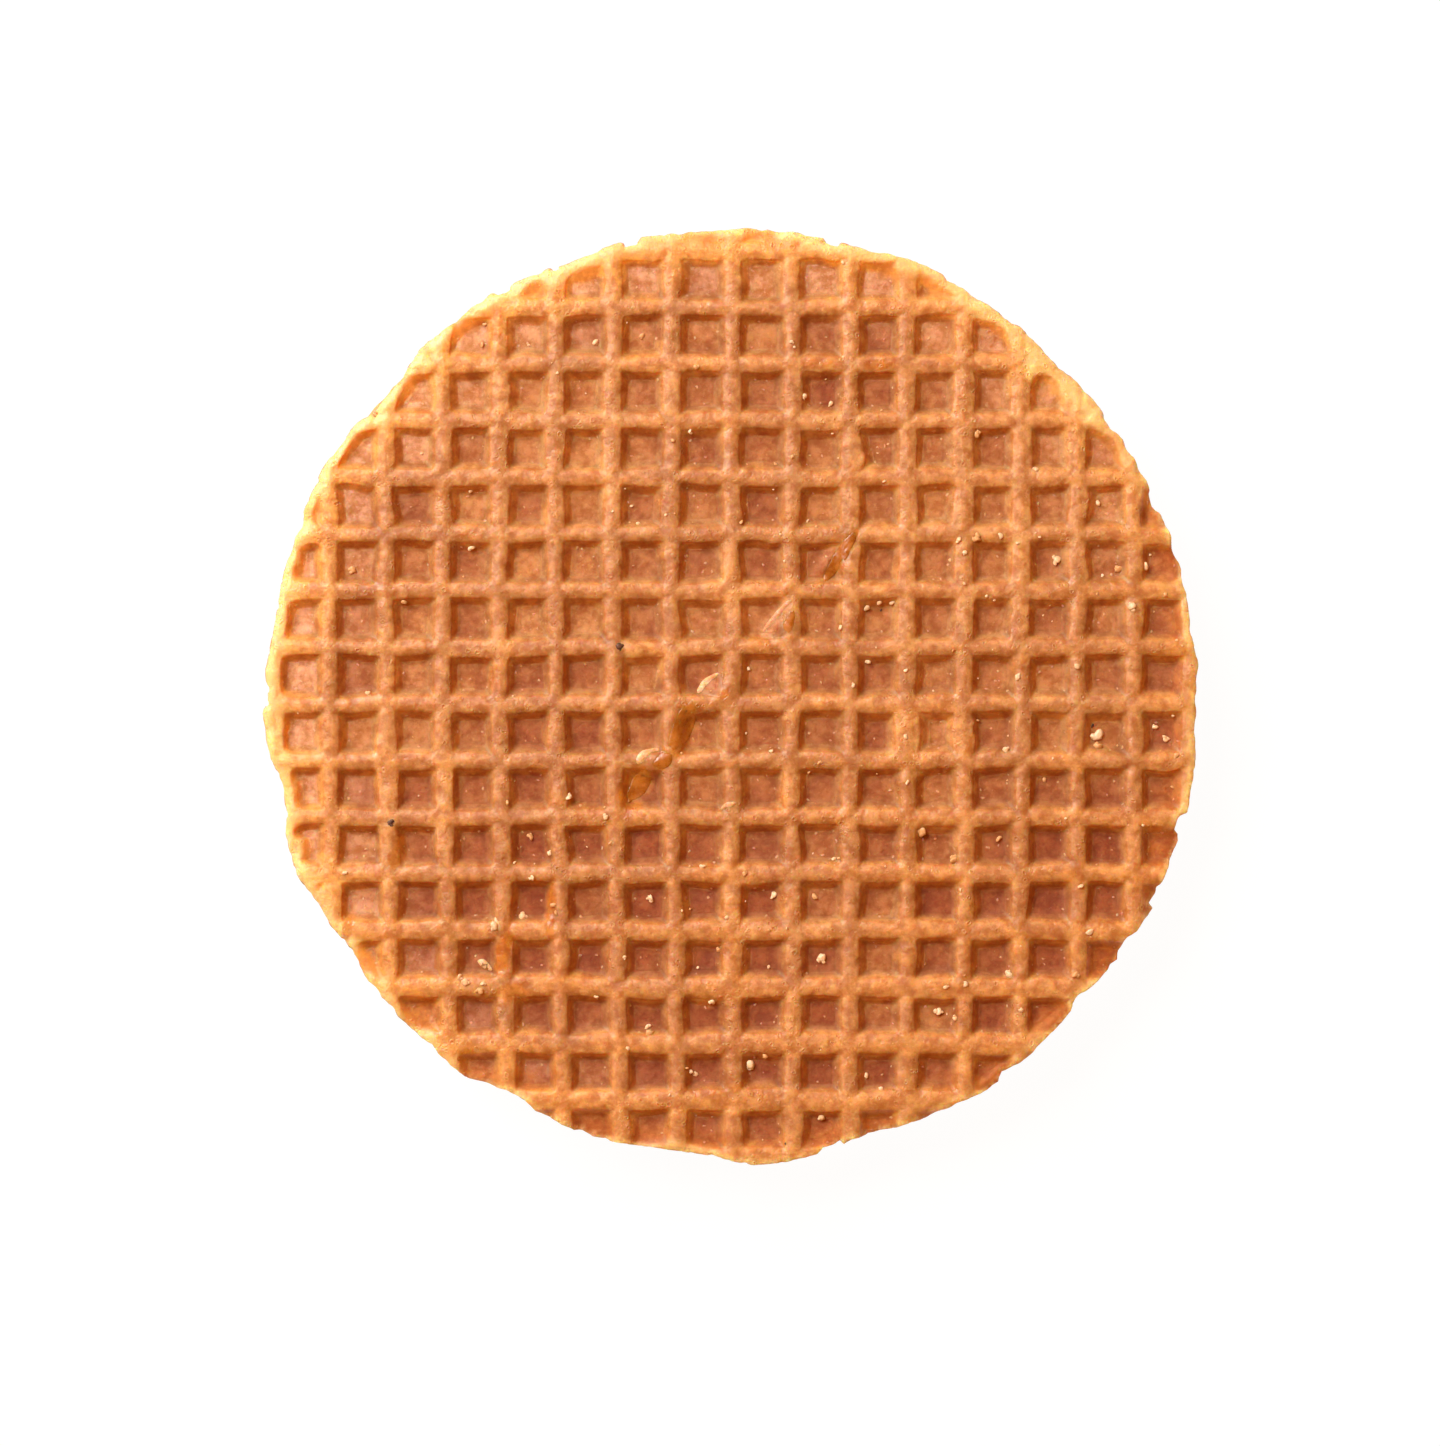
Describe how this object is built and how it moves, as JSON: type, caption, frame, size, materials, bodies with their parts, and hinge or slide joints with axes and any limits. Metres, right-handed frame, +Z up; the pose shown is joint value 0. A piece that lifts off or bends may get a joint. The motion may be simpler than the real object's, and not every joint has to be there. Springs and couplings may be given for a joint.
{
  "type": "stroopwafel",
  "caption": "Round caramel waffle biscuit: two thin waffle halves with square pockets, joined by a layer of syrup that shows at the rim and in a torn diagonal.",
  "frame": {"origin": "middle of the round outline, on the surface that the waffle lies on", "axes": "+Z up out of the upper face; the ridges of the waffle grid run along X and Y; the torn diagonal runs from -X-Y to +X+Y"},
  "size_m": [0.0856, 0.0856, 0.0082],
  "materials": {
    "waffle": "baked waffle, golden brown, satin and finely grained, paler on the ridges and redder on the pocket floors",
    "syrup": "caramel syrup, glossy, translucent amber brown"
  },
  "bodies": {
    "root": {"wafer_bottom": "waffle", "syrup": "syrup", "wafer_top": "waffle"}
  },
  "joints": []
}
